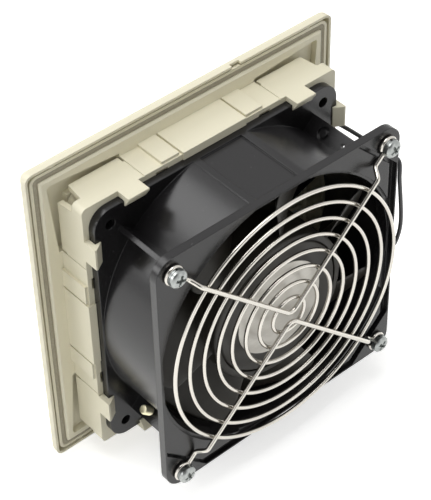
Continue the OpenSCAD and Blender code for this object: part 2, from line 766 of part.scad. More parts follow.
module bearing_tube() {
    color("#B8A05A") ring_y(tube_from, tube_to, tube_out, bearing_r + fit_gap);
}

module bearing(from_y) {
    race = (bearing_r - shaft_d / 2) / 4;
    color("#A9ABAD") difference() {
        ring_y(from_y, from_y + bearing_w, bearing_r, shaft_d / 2 + shaft_clear);
        for (y = [from_y - over, from_y + bearing_w - race])
            ring_y(y, y + over + race, bearing_r - race, shaft_d / 2 + race);
    }
}

module rear_bearing() { bearing(tube_from + tube_wall); }

module front_bearing() { bearing(tube_to - bearing_w); }

module stator_core() {
    color("#6E7276") plate(stack_from, stack_to) difference() {
        circle(stator_r);
        circle(tube_out + fit_gap);
        for (i = [0 : slot_count - 1]) rotate(360 * i / slot_count) {
            translate([slot_mid_r, 0]) circle(slot_r);
            translate([slot_mid_r, -tube_wall / 2]) square([stator_r - slot_mid_r + over, tube_wall]);
        }
    }
}

module stator_windings() {
    color("#9A5B2C") {
        for (y = [stack_from - winding_over, stack_to]) ring_y(y + fit_gap, y + winding_over - fit_gap,
            slot_mid_r + slot_r, slot_mid_r - slot_r);
        for (i = [0 : slot_count - 1]) rotate([0, -360 * i / slot_count, 0]) translate([slot_mid_r, 0, 0])
            plate(stack_from - winding_over / 2, stack_to + winding_over / 2) circle(slot_r - fit_gap * 2);
    }
}

module rotor_shaft() {
    groove_from = tube_from + tube_wall - 2 * shaft_clip_t;
    color("#C4C6C8") difference() {
        plate(tube_from, cup_face - cup_wall) circle(shaft_d / 2);
        ring_y(groove_from, groove_from + shaft_clip_t, shaft_d, shaft_d * 0.4);
    }
}

module shaft_clip() {
    groove_from = tube_from + tube_wall - 2 * shaft_clip_t;
    play = fit_gap;
    color("#8C8E90") difference() {
        ring_y(groove_from + play, groove_from + shaft_clip_t - play, shaft_d, shaft_d * 0.4 + play);
        translate([-shaft_d / 4, groove_from - over, 0]) cube([shaft_d / 2, shaft_clip_t + 2 * over, 2 * shaft_d]);
    }
}

module rotor_cup() {
    boss_from = tube_to + shaft_clip_t;
    edge = cup_wall * 0.6;
    color("#3A3836") turned() polygon([
        [shaft_d / 2 + fit_gap / 2, boss_from], [bearing_r, boss_from], [tube_out, cup_face - cup_wall * 2],
        [tube_out, cup_face - cup_wall], [cup_in, cup_face - cup_wall], [cup_in, cup_back],
        [cup_r, cup_back], [cup_r, cup_face - edge], [cup_r - edge, cup_face],
        [0, cup_face], [0, cup_face - cup_wall], [shaft_d / 2 + fit_gap / 2, cup_face - cup_wall]]);
}

module rotor_ring() {
    color("#9EA2A4") ring_y(stack_from - winding_over / 3, stack_to + winding_over / 3, ring_out, ring_in);
}

module rotor_disc() {
    color("#C6C3BC") plate(cup_face, cup_face + disc_t) circle(disc_d / 2);
}

// Section of a blade at a share of its chord: back points outwards, front points inwards
function blade_rim(c, chord) = let (w = min(c, 1 - c) * chord, r = blade_corner_r)
    tip_r - (w >= r ? 0 : r - sqrt(r * r - (r - w) * (r - w)));
function blade_point(s, c, side) =
    let (root = hub_d / 2 - cup_wall,
        chord = norm([tip_r * blade_sweep * PI / 180, blade_depth]),
        r = root + s * (blade_rim(c, chord) - root),
        turn = blade_angle + blade_lead * (1 - s) + blade_sweep * c,
        run = r * blade_sweep * PI / 180,
        n = [blade_depth, run] / norm([blade_depth, run]) * side * blade_t / 2)
    [r * cos(turn) - n[0] * sin(turn), fan_front - blade_inset - blade_depth * c + n[1],
        r * sin(turn) + n[0] * cos(turn)];
function blade_section(c) = concat(
    [for (s = span_shares) blade_point(s, c, -1)],
    [for (i = [len(span_shares) - 1 : -1 : 0]) blade_point(span_shares[i], c, 1)]);

module impeller() {
    edge = cup_wall * 0.6;
    color("#34322F") {
        turned() polygon([[hub_in, cup_back + cup_wall], [hub_d / 2, cup_back + cup_wall],
            [hub_d / 2, cup_face - edge], [hub_d / 2 - edge, cup_face], [hub_in, cup_face]]);
        for (i = [0 : blade_count - 1]) rotate([0, -360 * i / blade_count, 0])
            loft([for (c = chord_shares) blade_section(c)]);
    }
}

module guard_rings() {
    last = bore_r - guard_inset;
    step = (last - guard_first_r) / (guard_count - 1);
    color("#CFCCC4") for (i = [0 : guard_count - 1])
        turned() translate([guard_first_r + i * step, ring_plane]) circle(guard_wire_d / 2, $fn = 24);
}

// A spoke runs from one upper screw past the middle to the other
corner_z = spoke_offset - spoke_bend_r * (1 / cos(atan2(hole_at - spoke_offset, hole_at)) - 1);
arm_angle = atan2(hole_at - corner_z, hole_at);
arm_len = norm([hole_at, hole_at - corner_z]);
bend_len = spoke_bend_r * tan(arm_angle);
function arm_point(s, y) = [hole_at - s * cos(arm_angle), y, hole_at - s * sin(arm_angle)];
function joggle(t) = let (e = t * t * (3 - 2 * t)) arm_point(joggle_from + t * (joggle_to - joggle_from),
    eyelet_plane + e * (spoke_plane - eyelet_plane));
function half_spoke() = concat([arm_point(eyelet_r, eyelet_plane)],
    [for (t = [0 : 0.2 : 1]) joggle(t)], [arm_point(arm_len - bend_len, spoke_plane)]);
function spoke_bend() = [for (a = [5 : -1 : -5]) let (t = a / 6 * arm_angle)
    [spoke_bend_r * sin(t), spoke_plane, corner_z + spoke_bend_r / cos(arm_angle) - spoke_bend_r * cos(t)]];
function flip(p) = [-p[0], p[1], p[2]];

module guard_spokes() {
    half = half_spoke();
    path = concat(half, spoke_bend(), [for (i = [len(half) - 1 : -1 : 0]) flip(half[i])]);
    color("#C9C9C6") {
        for (turn = [0 : 1]) rotate([0, 180 * turn, 0]) wire(path, spoke_d / 2, 8, [0, 1, 0]);
        at_holes(0) turned() translate([eyelet_r, eyelet_plane]) circle(spoke_d / 2, $fn = 24);
    }
}

module domed_head(r, h) {
    turned() polygon([for (p = dome_shares) [p[0] * r, p[1] * h]]);
}

module guard_screws() {
    color("#C8CDCD") at_holes(head_from) difference() {
        union() {
            domed_head(head_d / 2, head_h);
            plate(-screw_len, over) circle(screw_r);
        }
        for (turn = [0 : 1]) rotate([0, 30 + 90 * turn, 0])
            translate([-recess_len / 2, head_h - recess_d, -recess_w / 2])
            cube([recess_len, recess_d + over, recess_w]);
    }
}

module spring_washers() {
    color("#B9BEC0") at_holes(washer_from) difference() {
        ring_y(0, washer_t, washer_d / 2, screw_r + fit_gap);
        translate([-washer_split / 2, -over, 0]) cube([washer_split, washer_t + 2 * over, washer_d]);
    }
}

module earth_washer() {
    color("#D8CFA4") earth_place() translate([0, 0, -web_t / 2 - washer_t]) difference() {
        cylinder(h = washer_t, r = earth_seat_d / 2);
        translate([0, 0, -over]) cylinder(h = washer_t + 2 * over, r = earth_core_r + fit_gap);
    }
}

module earth_screw() {
    base = -web_t / 2 - washer_t;
    color("#D9D2AE") earth_place() {
        difference() {
            translate([0, 0, base - head_h]) cylinder(h = head_h, r = earth_seat_d / 2);
            translate([-recess_len / 2, -recess_w / 2, base - head_h - over])
                cube([recess_len, recess_w, recess_d + over]);
        }
        translate([0, 0, base - over]) cylinder(h = web_t / 2 - base + over, r = earth_core_r);
        translate([0, 0, web_t / 2]) cylinder(h = base + earth_len - web_t / 2, r = earth_d / 2);
    }
}

module fan_lead() {
    color("#4A4A4C") wire(smooth_path(lead_route, lead_steps), lead_d / 2, lead_sides, [1, 0, 0]);
}

// Housing on the barrel where the lead ends, open towards the front
module fan_terminals() {
    end = lead_route[len(lead_route) - 1];
    color("#1F1F20") difference() {
        translate([end[0] - socket_w / 2, end[1] - socket_len, end[2] - socket_w / 2])
            cube([socket_w, socket_len, socket_w]);
        plate(fan_back - over, fan_front + over) circle(barrel_r + fit_gap);
    }
}

module terminal_block() {
    color("#D7D3C4") difference() {
        translate([-cage_half - block_w, block_from, block_at - block_len / 2])
            cube([block_w, block_h, block_len]);
        for (s = [-1, 1])
            translate([-cage_half - block_w - over, block_from + block_h / 2, block_at + s * block_len / 4])
            rotate([0, 90, 0]) cylinder(h = block_w - over, r = block_screw_d / 2 + fit_gap);
    }
}

module terminal_screws() {
    color("#C9B46A") for (s = [-1, 1])
        translate([-cage_half - block_w - block_screw_h, block_from + block_h / 2, block_at + s * block_len / 4])
        rotate([0, 90, 0]) difference() {
            cylinder(h = block_w - 2 * over + block_screw_h, r = block_screw_d / 2);
            translate([-block_screw_d, -recess_w / 4, -over]) cube([2 * block_screw_d, recess_w / 2, over + block_screw_h]);
        }
}

base_frame();
duct_grid();
flange_gasket();
filter_mat();
front_cover();
fan_frame();
bearing_tube();
rear_bearing();
front_bearing();
stator_core();
stator_windings();
rotor_shaft();
rotor_cup();
rotor_ring();
impeller();
rotor_disc();
shaft_clip();
guard_rings();
guard_spokes();
guard_screws();
spring_washers();
earth_screw();
earth_washer();
fan_lead();
fan_terminals();
terminal_block();
terminal_screws();
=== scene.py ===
import math

import bmesh
import bpy
import numpy as np
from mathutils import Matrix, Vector


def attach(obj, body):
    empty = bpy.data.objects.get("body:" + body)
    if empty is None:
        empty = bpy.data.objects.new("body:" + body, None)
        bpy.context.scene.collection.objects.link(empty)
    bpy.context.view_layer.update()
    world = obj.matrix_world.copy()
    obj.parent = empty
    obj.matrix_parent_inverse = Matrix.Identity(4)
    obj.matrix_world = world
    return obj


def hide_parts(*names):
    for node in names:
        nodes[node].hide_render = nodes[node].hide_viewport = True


# Enclosure filter fan. X runs across, Y into the enclosure, Z up; lengths are in mm
# here and become metres where a mesh or a texture is made.
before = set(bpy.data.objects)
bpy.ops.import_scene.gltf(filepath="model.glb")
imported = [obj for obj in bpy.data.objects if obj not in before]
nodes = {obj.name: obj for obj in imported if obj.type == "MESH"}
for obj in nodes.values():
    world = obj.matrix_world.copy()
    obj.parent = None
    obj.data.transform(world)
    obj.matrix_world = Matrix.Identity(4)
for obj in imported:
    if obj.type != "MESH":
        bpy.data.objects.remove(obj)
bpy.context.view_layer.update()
mm = 0.001
print("frame loaded:", len(nodes), "nodes")


# Camera at the photograph's viewing angle
camera = {
    "place": (325.89, 402.97, 476.69),
    "turn": (47.0455, 1.0564, 139.0721),  # degrees about X, Y and Z
    "focal": 1767.32 / 500,               # focal length over the picture's long side
    "sensor": 36,
    "clip": (0.02, 20),                   # metres
}
camData = bpy.data.cameras.new("photoCamera")
camData.sensor_width = camera["sensor"]
camData.lens = camera["focal"] * camera["sensor"]
camData.clip_start, camData.clip_end = camera["clip"]
cam = bpy.data.objects.new("photoCamera", camData)
cam.location = [v * mm for v in camera["place"]]
cam.rotation_euler = [math.radians(v) for v in camera["turn"]]
bpy.context.scene.collection.objects.link(cam)
bpy.context.scene.camera = cam
bpy.context.scene.view_settings.view_transform = "Standard"


def toLinear(hexColor):
    # sRGB curve undone: below 0.04045 a straight line, above it a power of 2.4
    parts = np.array([int(hexColor[i:i + 2], 16) for i in (1, 3, 5)]) / 255
    linear = np.where(parts <= 0.04045, parts / 12.92, ((parts + 0.055) / 1.055) ** 2.4)
    return (*linear.tolist(), 1)


def addNode(tree, kind, settings=None, links=None):
    # a settings key names either an input socket or a property of the node
    node = tree.nodes.new(kind)
    for key, value in (settings or {}).items():
        if isinstance(key, int) or key in node.inputs:
            node.inputs[key].default_value = value
        else:
            setattr(node, key, value)
    for key, source in (links or {}).items():
        tree.links.new(source, node.inputs[key])
    return node


def startMaterial(name, finish):
    # a fresh material with its shader, and where on the object a point lies
    material = bpy.data.materials.new(name)
    material.use_nodes = True
    tree = material.node_tree
    tree.nodes.clear()
    shader = addNode(tree, "ShaderNodeBsdfPrincipled", finish)
    addNode(tree, "ShaderNodeOutputMaterial", links={"Surface": shader.outputs[0]})
    place = addNode(tree, "ShaderNodeTexCoord").outputs["Object"]
    return material, tree, shader, place


def finishSurface(tree, shader, look, share=None, height=None):
    # the colour goes from the first tone to the second with the share, and the height
    # stands up as a relief, over edges that look rounded by the edge radius
    if share is not None:
        tint = addNode(tree, "ShaderNodeMix", {"data_type": "RGBA", 6: toLinear(look["tones"][0]),
                       7: toLinear(look["tones"][1])}, {0: share})
        tree.links.new(tint.outputs[2], shader.inputs["Base Color"])
    if height is not None:
        links = {"Height": height}
        if "edge" in look:
            softEdge = addNode(tree, "ShaderNodeBevel", {"samples": 4, "Radius": look["edge"] * mm})
            links["Normal"] = softEdge.outputs[0]
        bump = addNode(tree, "ShaderNodeBump", {"Strength": look["strength"],
                       "Distance": look["depth"] * mm}, links)
        tree.links.new(bump.outputs[0], shader.inputs["Normal"])


def mottledFinish(name, look, finish):
    # the colour wanders between two tones in blots of a given size, which may be
    # stretched, and may stand up as a relief
    material, tree, shader, place = startMaterial(name, finish)
    if "stretch" in look:
        place = addNode(tree, "ShaderNodeMapping", {"Scale": look["stretch"]},
                        {"Vector": place}).outputs[0]
    blots = addNode(tree, "ShaderNodeTexNoise", {"Scale": perMetre(look["blot"]),
                    "Detail": look["detail"]}, {"Vector": place}).outputs[0]
    finishSurface(tree, shader, look, blots, blots if "depth" in look else None)
    return material


def perMetre(size):
    # texture scale whose pattern repeats about every size mm
    return 1 / (size * mm)


def wavesPerMetre(size):
    # a wave texture repeats every pi / 10 over its scale
    return math.pi / 10 * perMetre(size)


# Shapes

def smoothPath(points, steps):
    # each span is a cubic through its two ends, whose slopes come from the neighbours
    p = np.asarray(points, float)
    padded = np.vstack([p[:1], p, p[-1:]])
    t = np.arange(steps)[None, :, None] / steps
    a, b, c, d = (padded[i:len(p) - 1 + i, None, :] for i in range(4))
    spans = (2 * b + (c - a) * t + (2 * a - 5 * b + 4 * c - d) * t ** 2
             + (3 * b - a - 3 * c + d) * t ** 3) / 2
    return np.vstack([spans.reshape(-1, 3), p[-1:]])


def ringsToMesh(rings):
    # rings of points, each closed on itself: quads join neighbouring rings, and a fan
    # of triangles to its middle closes each end ring
    n, m = rings.shape[:2]
    k = np.arange(n * m).reshape(n, m)
    right = np.roll(k, -1, axis=1)
    faces = np.stack([k[:-1], right[:-1], right[1:], k[1:]], -1).reshape(-1, 4).tolist()
    faces += np.stack([right[0], k[0], np.full(m, n * m)], -1).tolist()
    faces += np.stack([k[-1], right[-1], np.full(m, n * m + 1)], -1).tolist()
    return np.vstack([rings.reshape(-1, 3), rings[0].mean(0), rings[-1].mean(0)]), faces


def loopToMesh(rings):
    # rings of points that also close on each other, as round a torus
    n, m = rings.shape[:2]
    k = np.arange(n * m).reshape(n, m)
    right, down = np.roll(k, -1, axis=1), np.roll(k, -1, axis=0)
    both = np.roll(down, -1, axis=1)
    return rings.reshape(-1, 3), np.stack([k, right, both, down], -1).reshape(-1, 4).tolist()


def joinMeshes(parts):
    # faces of each part are counted on from the points of those before it
    points, faces, count = [], [], 0
    for p, f in parts:
        points.append(p)
        faces += [[i + count for i in face] for face in f]
        count += len(p)
    return np.vstack(points), faces


def tubeRings(path, radius, sides, across):
    # circle of the radius round each point of the path, square to the way it runs;
    # across is a direction that the path never takes
    way = np.gradient(path, axis=0)
    way /= np.linalg.norm(way, axis=1)[:, None]
    side = np.cross(way, across)
    side /= np.linalg.norm(side, axis=1)[:, None]
    up = np.cross(side, way)
    turn = 2 * np.pi * np.arange(sides) / sides
    return (path[:, None] + radius * (np.cos(turn)[None, :, None] * side[:, None]
            + np.sin(turn)[None, :, None] * up[:, None]))


def latheRings(profile, sides):
    # each pair of radius and place along Y is carried round the Y axis
    turn = 2 * np.pi * np.arange(sides) / sides
    r, y = np.asarray(profile, float).T
    return np.stack([r[:, None] * np.cos(turn), np.broadcast_to(y[:, None], (len(r), sides)),
                     r[:, None] * np.sin(turn)], -1)


def makePiece(name, parts, material, body, stands, smoothAngle=40):
    # parts become one mesh in metres, facing outwards and smooth up to the given
    # angle, which stands in the place of one CAD node
    points, faces = joinMeshes(parts)
    mesh = bpy.data.meshes.new(name)
    mesh.from_pydata((points * mm).tolist(), [], faces)
    work = bmesh.new()
    work.from_mesh(mesh)
    bmesh.ops.recalc_face_normals(work, faces=work.faces)
    work.to_mesh(mesh)
    work.free()
    mesh.shade_smooth()
    mesh.set_sharp_from_angle(angle=math.radians(smoothAngle))
    mesh.materials.append(material)
    piece = bpy.data.objects.new(name, mesh)
    bpy.context.scene.collection.objects.link(piece)
    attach(piece, body)
    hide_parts(stands)
    return piece


# Materials

# Moulded ABS, grey-beige: satin, with the fine spark-eroded grain of its mould
absLook = {"tones": ("#E6E1CA", "#DED8BF"), "cloud": 40, "grain": 0.45,
           "strength": 0.25, "depth": 0.04, "edge": 0.35}
moulded, tree, shader, place = startMaterial("mouldedABS", {"Roughness": 0.46, "IOR": 1.53})
cloudy = addNode(tree, "ShaderNodeTexNoise", {"Scale": perMetre(absLook["cloud"]), "Detail": 3},
                 {"Vector": place})
grain = addNode(tree, "ShaderNodeTexNoise", {"Scale": perMetre(absLook["grain"]), "Detail": 2},
                {"Vector": place})
finishSurface(tree, shader, absLook, cloudy.outputs[0], grain.outputs[0])

# Die-cast aluminium under black stove enamel: semi-gloss, a slight orange peel and
# pale specks where the casting's pores show
castingLook = {"tones": ("#191819", "#4C4A4A"), "pores": 0.8, "poresFrom": 0.76, "poresTo": 0.8,
               "peel": 0.9, "strength": 0.4, "depth": 0.07, "edge": 0.5}
enamel, tree, shader, place = startMaterial("blackEnamelCasting", {
    "Roughness": 0.25, "IOR": 1.5, "Specular IOR Level": 0.45})
pores = addNode(tree, "ShaderNodeTexNoise", {"Scale": perMetre(castingLook["pores"]), "Detail": 1},
                {"Vector": place})
specks = addNode(tree, "ShaderNodeMapRange", {"From Min": castingLook["poresFrom"],
                 "From Max": castingLook["poresTo"]}, {"Value": pores.outputs[0]})
peel = addNode(tree, "ShaderNodeTexNoise", {"Scale": perMetre(castingLook["peel"]), "Detail": 3},
               {"Vector": place})
finishSurface(tree, shader, castingLook, specks.outputs[0], peel.outputs[0])

# Glass-filled polyamide, black: satin, faintly cloudy where the fibres lie
polyamide = mottledFinish("blackPolyamide", {
    "tones": ("#26241F", "#34312B"), "blot": 6, "detail": 4,
    "strength": 0.15, "depth": 0.03, "edge": 0.3,
}, {"Roughness": 0.4, "IOR": 1.53, "Specular IOR Level": 0.3})

# Nickel-plated steel wire: bright, with the faint streaks of drawing
wireLook = {"base": "#CFCBC3", "streaks": 2.5, "smooth": 0.1, "rough": 0.25,
            "strength": 0.1, "depth": 0.02}
nickel, tree, shader, place = startMaterial("nickelPlatedWire", {
    "Base Color": toLinear(wireLook["base"]), "Metallic": 1})
streaks = addNode(tree, "ShaderNodeTexNoise", {"Scale": perMetre(wireLook["streaks"]), "Detail": 4},
                  {"Vector": place})
rough = addNode(tree, "ShaderNodeMapRange", {"To Min": wireLook["smooth"],
                "To Max": wireLook["rough"]}, {"Value": streaks.outputs[0]})
tree.links.new(rough.outputs[0], shader.inputs["Roughness"])
finishSurface(tree, shader, wireLook, height=streaks.outputs[0])

# Blue-passivated zinc on steel: bluish grey, softly mottled
zinc = mottledFinish("bluePassivatedZinc", {
    "tones": ("#B4B7B4", "#8F9392"), "blot": 1.5, "detail": 4, "strength": 0.15, "depth": 0.03,
}, {"Metallic": 1, "Roughness": 0.3})

# Yellow-passivated zinc on steel: pale straw with a warmer bloom
yellowZinc = mottledFinish("yellowPassivatedZinc", {
    "tones": ("#E4E0CC", "#D9D0A4"), "blot": 1.8, "detail": 3,
}, {"Metallic": 1, "Roughness": 0.28})

# Matt aluminium film: the blank disc on the rotor, with a fine rolled grain along X
film = mottledFinish("aluminiumFilm", {
    "tones": ("#D0CDC6", "#BEBBB4"), "blot": 0.4, "detail": 3, "stretch": (0.06, 1, 1),
    "strength": 0.1, "depth": 0.02,
}, {"Metallic": 0.85, "Roughness": 0.42})

# Foamed-in polyurethane: matt grey with a smooth skin and faint pores under it
foamLook = {"tones": ("#9B9480", "#ACA693"), "pores": 0.6, "strength": 0.25, "depth": 0.08}
foam, tree, shader, place = startMaterial("polyurethaneFoam", {"Roughness": 0.85})
cells = addNode(tree, "ShaderNodeTexVoronoi", {"Scale": perMetre(foamLook["pores"])},
                {"Vector": place}).outputs["Distance"]
finishSurface(tree, shader, foamLook, cells, cells)

# Polyester fleece: matted white fibres, drawn much coarser than the real 0.03 mm
fleeceLook = {"tones": ("#C9CAC5", "#EFEFEB"), "swirl": 9, "bend": 6, "fibre": 1.2,
              "strength": 0.7, "depth": 0.3}
fleece, tree, shader, place = startMaterial("polyesterFleece", {
    "Roughness": 0.95, "Sheen Weight": 0.3})
swirl = addNode(tree, "ShaderNodeTexNoise", {"Scale": perMetre(fleeceLook["swirl"]), "Detail": 2},
                {"Vector": place})
bent = addNode(tree, "ShaderNodeVectorMath", {"operation": "MULTIPLY_ADD",
               1: (fleeceLook["bend"] * mm,) * 3}, {0: swirl.outputs["Color"], 2: place})
fibres = addNode(tree, "ShaderNodeTexNoise", {"Scale": perMetre(fleeceLook["fibre"]), "Detail": 6,
                 "noise_type": "RIDGED_MULTIFRACTAL"}, {"Vector": bent.outputs[0]}).outputs[0]
finishSurface(tree, shader, fleeceLook, fibres, fibres)

# Soft PVC: black sheath with the faint haze of extrusion
sheath = mottledFinish("softPVC", {
    "tones": ("#2C2C2E", "#3B3B3D"), "blot": 3, "detail": 3,
}, {"Roughness": 0.42})

# Polyester resin, black: the fan's terminal housing, slightly glossy
resin = mottledFinish("blackPolyester", {
    "tones": ("#1E1E1F", "#2A2A2B"), "blot": 3, "detail": 3,
}, {"Roughness": 0.36})

# Natural polyamide: the off-white terminal block, waxy and a little translucent
waxy = mottledFinish("naturalPolyamide", {
    "tones": ("#DCD8C9", "#E6E3D6"), "blot": 5, "detail": 3,
}, {"Roughness": 0.4, "Subsurface Weight": 0.1, "Subsurface Scale": mm})

# Turned brass: fine grooves of the tool round the Y axis
brassLook = {"tones": ("#C7A862", "#A98A4A"), "feed": 0.15}
brass, tree, shader, place = startMaterial("turnedBrass", {"Metallic": 1, "Roughness": 0.28})
grooves = addNode(tree, "ShaderNodeTexWave", {"bands_direction": "Y", "Distortion": 0.6,
                  "Scale": wavesPerMetre(brassLook["feed"])}, {"Vector": place})
finishSurface(tree, shader, brassLook, grooves.outputs[0])

# Electrical sheet: bare steel plates 0.5 mm thick, stacked along Y
sheetLook = {"tones": ("#55585C", "#8D9094"), "plate": 0.5, "strength": 0.4, "depth": 0.05}
laminated, tree, shader, place = startMaterial("stackedElectricalSheet", {
    "Metallic": 1, "Roughness": 0.4})
plates = addNode(tree, "ShaderNodeTexWave", {"bands_direction": "Y",
                 "Scale": wavesPerMetre(sheetLook["plate"])}, {"Vector": place}).outputs[0]
finishSurface(tree, shader, sheetLook, plates, plates)

# Enamelled copper: wire 0.4 mm thick laid round the stack, under clear varnish
copperLook = {"tones": ("#5A2E14", "#A8602C"), "wire": 0.4, "strength": 0.6, "depth": 0.1}
copper, tree, shader, place = startMaterial("enamelledCopper", {
    "Metallic": 0.8, "Roughness": 0.3, "Coat Weight": 0.5})
turns = addNode(tree, "ShaderNodeTexWave", {"wave_type": "RINGS", "rings_direction": "Y",
                "Distortion": 1, "Scale": wavesPerMetre(copperLook["wire"])},
                {"Vector": place}).outputs[0]
finishSurface(tree, shader, copperLook, turns, turns)

# Ground bearing steel: bright, with a fine lapped haze
ground = mottledFinish("groundBearingSteel", {
    "tones": ("#C2C4C6", "#A9ABAE"), "blot": 0.8, "detail": 4,
}, {"Metallic": 1, "Roughness": 0.22})

# Die-cast aluminium, bare: the conductor ring, dull and slightly pitted
bareCasting = mottledFinish("bareAluminiumCasting", {
    "tones": ("#B4B7B9", "#8F9295"), "blot": 1, "detail": 4, "strength": 0.3, "depth": 0.05,
}, {"Metallic": 1, "Roughness": 0.5})
print("materials made:", len(bpy.data.materials))


# The lead: from the terminal block beside the cage, along the fan, down past the front
# flange and back behind it to the fan's own terminals
lead = {
    "diameter": 1.7, "steps": 6, "sides": 16,
    "route": [
        (-64.9, 8.5, 33.2), (-64.9, 10, 33.2), (-65.1, 12, 32.8), (-65.5, 15, 32.4),
        (-65.5, 20, 32.9), (-65, 26.6, 33.8), (-64.6, 32.6, 34.3), (-64.3, 38.4, 34.7),
        (-63.8, 43.2, 35.6), (-63.2, 47, 36.8), (-62.6, 49.8, 37.6), (-62.2, 51.2, 36.4),
        (-62.2, 51.5, 33.6), (-62.3, 51.5, 29.6), (-63, 51.5, 23.8), (-63.8, 51.5, 17.3),
        (-64.5, 51.5, 10.6), (-64.7, 51.5, 4.1), (-64.1, 51.2, -1.6), (-63.3, 50, -7),
        (-62.4, 47.2, -12.3), (-61.6, 42.6, -16.8), (-60.6, 37.4, -19.7), (-59.6, 33, -21.4),
        (-59.2, 29.6, -22), (-59.2, 26.6, -22),
    ],
}
leadPath = smoothPath(lead["route"], lead["steps"])
leadRings = tubeRings(leadPath, lead["diameter"] / 2, lead["sides"], (1, 0, 0))
leadPiece = makePiece("fanLead", [ringsToMesh(leadRings)],
                      sheath, "housing", "fan_lead")


# Finger guard: concentric rings, and two bent spokes that end in loops round the screws
guard = {
    "rings": 8, "first": 8.0, "last": 56.2, "ringWire": 1.7, "ringPlane": 56.1,
    "spokeWire": 1.9, "spokePlane": 57.85, "loopPlane": 53.55, "hole": 52.4,
    "offset": 2.8, "bend": 3.5, "loop": 3.4, "loopTurn": 320,  # the turn is in degrees
    "leave": 8.5, "arrive": 13.1,  # the rise, as distances from the screw
    "ringSteps": 180, "loopSteps": 44, "armSteps": 90, "bendSteps": 22, "sides": 14,
}
turn = 2 * np.pi * np.arange(guard["ringSteps"])[:, None] / guard["ringSteps"]
tubeTurn = 2 * np.pi * np.arange(guard["sides"]) / guard["sides"]


def wireRing(radius, wire, height):
    # the wire's circle, standing on the ring's radius, is carried round the Y axis
    r = radius + wire / 2 * np.cos(tubeTurn)
    y = height + wire / 2 * np.sin(tubeTurn) + 0 * turn
    return loopToMesh(np.stack([r * np.cos(turn), y, r * np.sin(turn)], -1))


makePiece("guardRings", [wireRing(r, guard["ringWire"], guard["ringPlane"])
                         for r in np.linspace(guard["first"], guard["last"], guard["rings"])],
          nickel, "housing", "guard_rings")


def spokePath(g):
    # loop round one screw, a rise to full height, a straight arm, a bend of the given
    # radius beside the axis, and the same again mirrored
    lean = math.cos(math.atan2(g["hole"] - g["offset"], g["hole"]))
    cornerZ = g["offset"] - g["bend"] * (1 / lean - 1)
    angle = math.atan2(g["hole"] - cornerZ, g["hole"])
    reach = math.hypot(g["hole"], g["hole"] - cornerZ) - g["bend"] * math.tan(angle)
    inward = np.array([-math.cos(angle), 0, -math.sin(angle)])
    screw = np.array([g["hole"], 0, g["hole"]])
    sweep = (np.radians(np.linspace(g["loopTurn"], 0, g["loopSteps"]))[:, None]
             + math.atan2(inward[2], inward[0]))
    loop = screw + np.hstack([g["loop"] * np.cos(sweep), g["loopPlane"] + 0 * sweep,
                              g["loop"] * np.sin(sweep)])
    out = np.linspace(g["loop"] + 1, reach, g["armSteps"])[:, None]
    rise = np.clip((out - g["leave"]) / (g["arrive"] - g["leave"]), 0, 1)
    rise = rise * rise * (3 - 2 * rise)
    height = g["loopPlane"] + rise * (g["spokePlane"] - g["loopPlane"])
    arm = screw + inward * out + np.hstack([0 * out, height, 0 * out])
    t = np.linspace(angle, -angle, g["bendSteps"] + 2)[1:-1, None]
    bend = np.hstack([g["bend"] * np.sin(t), g["spokePlane"] + 0 * t,
                      cornerZ + g["bend"] / math.cos(angle) - g["bend"] * np.cos(t)])
    half = np.vstack([loop, arm])
    return np.vstack([half, bend, half[::-1] * [-1, 1, 1]])


upper = tubeRings(spokePath(guard), guard["spokeWire"] / 2, guard["sides"], (0, 1, 0))
makePiece("guardSpokes", [ringsToMesh(upper), ringsToMesh(upper * [-1, 1, -1])],
          nickel, "housing", "guard_spokes")
print("guard made")


# Impeller: hub ring with seven swept blades
fan = {
    "blades": 7, "root": 30.8, "tip": 56.0, "front": 48.6, "depth": 22.0,
    "sweep": 46.0, "lead": 4.0, "first": 90.0,  # degrees; the root is turned by the lead
    "thickness": 1.3, "edgePower": 10, "corner": 8.0,
    "hub": [(29.55, 23.1), (32.0, 23.1), (32.3, 23.4), (32.3, 49.7), (32.18, 50.15),
            (31.85, 50.48), (31.4, 50.6), (29.55, 50.6)],
    "hubSides": 144, "lapSteps": 96, "spanSteps": 15,
}


def bladeMesh(number):
    # round a flat loop of back and front points, the chord's share runs from 0 to 1
    # and back; the rim is cut to rounded corners, and the turn grows with the chord
    f = fan
    lap = np.linspace(0, 2 * np.pi, f["lapSteps"] + 1)[:-1]
    c = (1 - np.cos(lap)) / 2
    blunt = (1 - (2 * c - 1) ** f["edgePower"]) ** 0.5
    thick = f["thickness"] / 2 * np.sign(np.sin(lap)) * blunt
    s = np.linspace(0, 1, f["spanSteps"])[:, None]
    chord = math.hypot(f["tip"] * math.radians(f["sweep"]), f["depth"])
    w = np.minimum(c, 1 - c) * chord
    rounded = np.sqrt(np.maximum(f["corner"] ** 2 - (f["corner"] - w) ** 2, 0))
    rim = f["tip"] - np.where(w >= f["corner"], 0, f["corner"] - rounded)
    r = f["root"] + s * (rim - f["root"])
    angle = np.radians(f["first"] + f["lead"] * (1 - s) + f["sweep"] * c
                       + 360 * number / f["blades"])
    run = r * math.radians(f["sweep"])
    size = np.hypot(f["depth"], run)
    n0, n1 = f["depth"] / size * thick, run / size * thick
    x = r * np.cos(angle) - n0 * np.sin(angle)
    z = r * np.sin(angle) + n0 * np.cos(angle)
    y = f["front"] - f["depth"] * c + n1
    return ringsToMesh(np.stack([x, y, z], -1))


makePiece("impellerWheel", [loopToMesh(latheRings(fan["hub"], fan["hubSides"]))]
          + [bladeMesh(i) for i in range(fan["blades"])],
          polyamide, "rotor", "impeller")
print("impeller made")


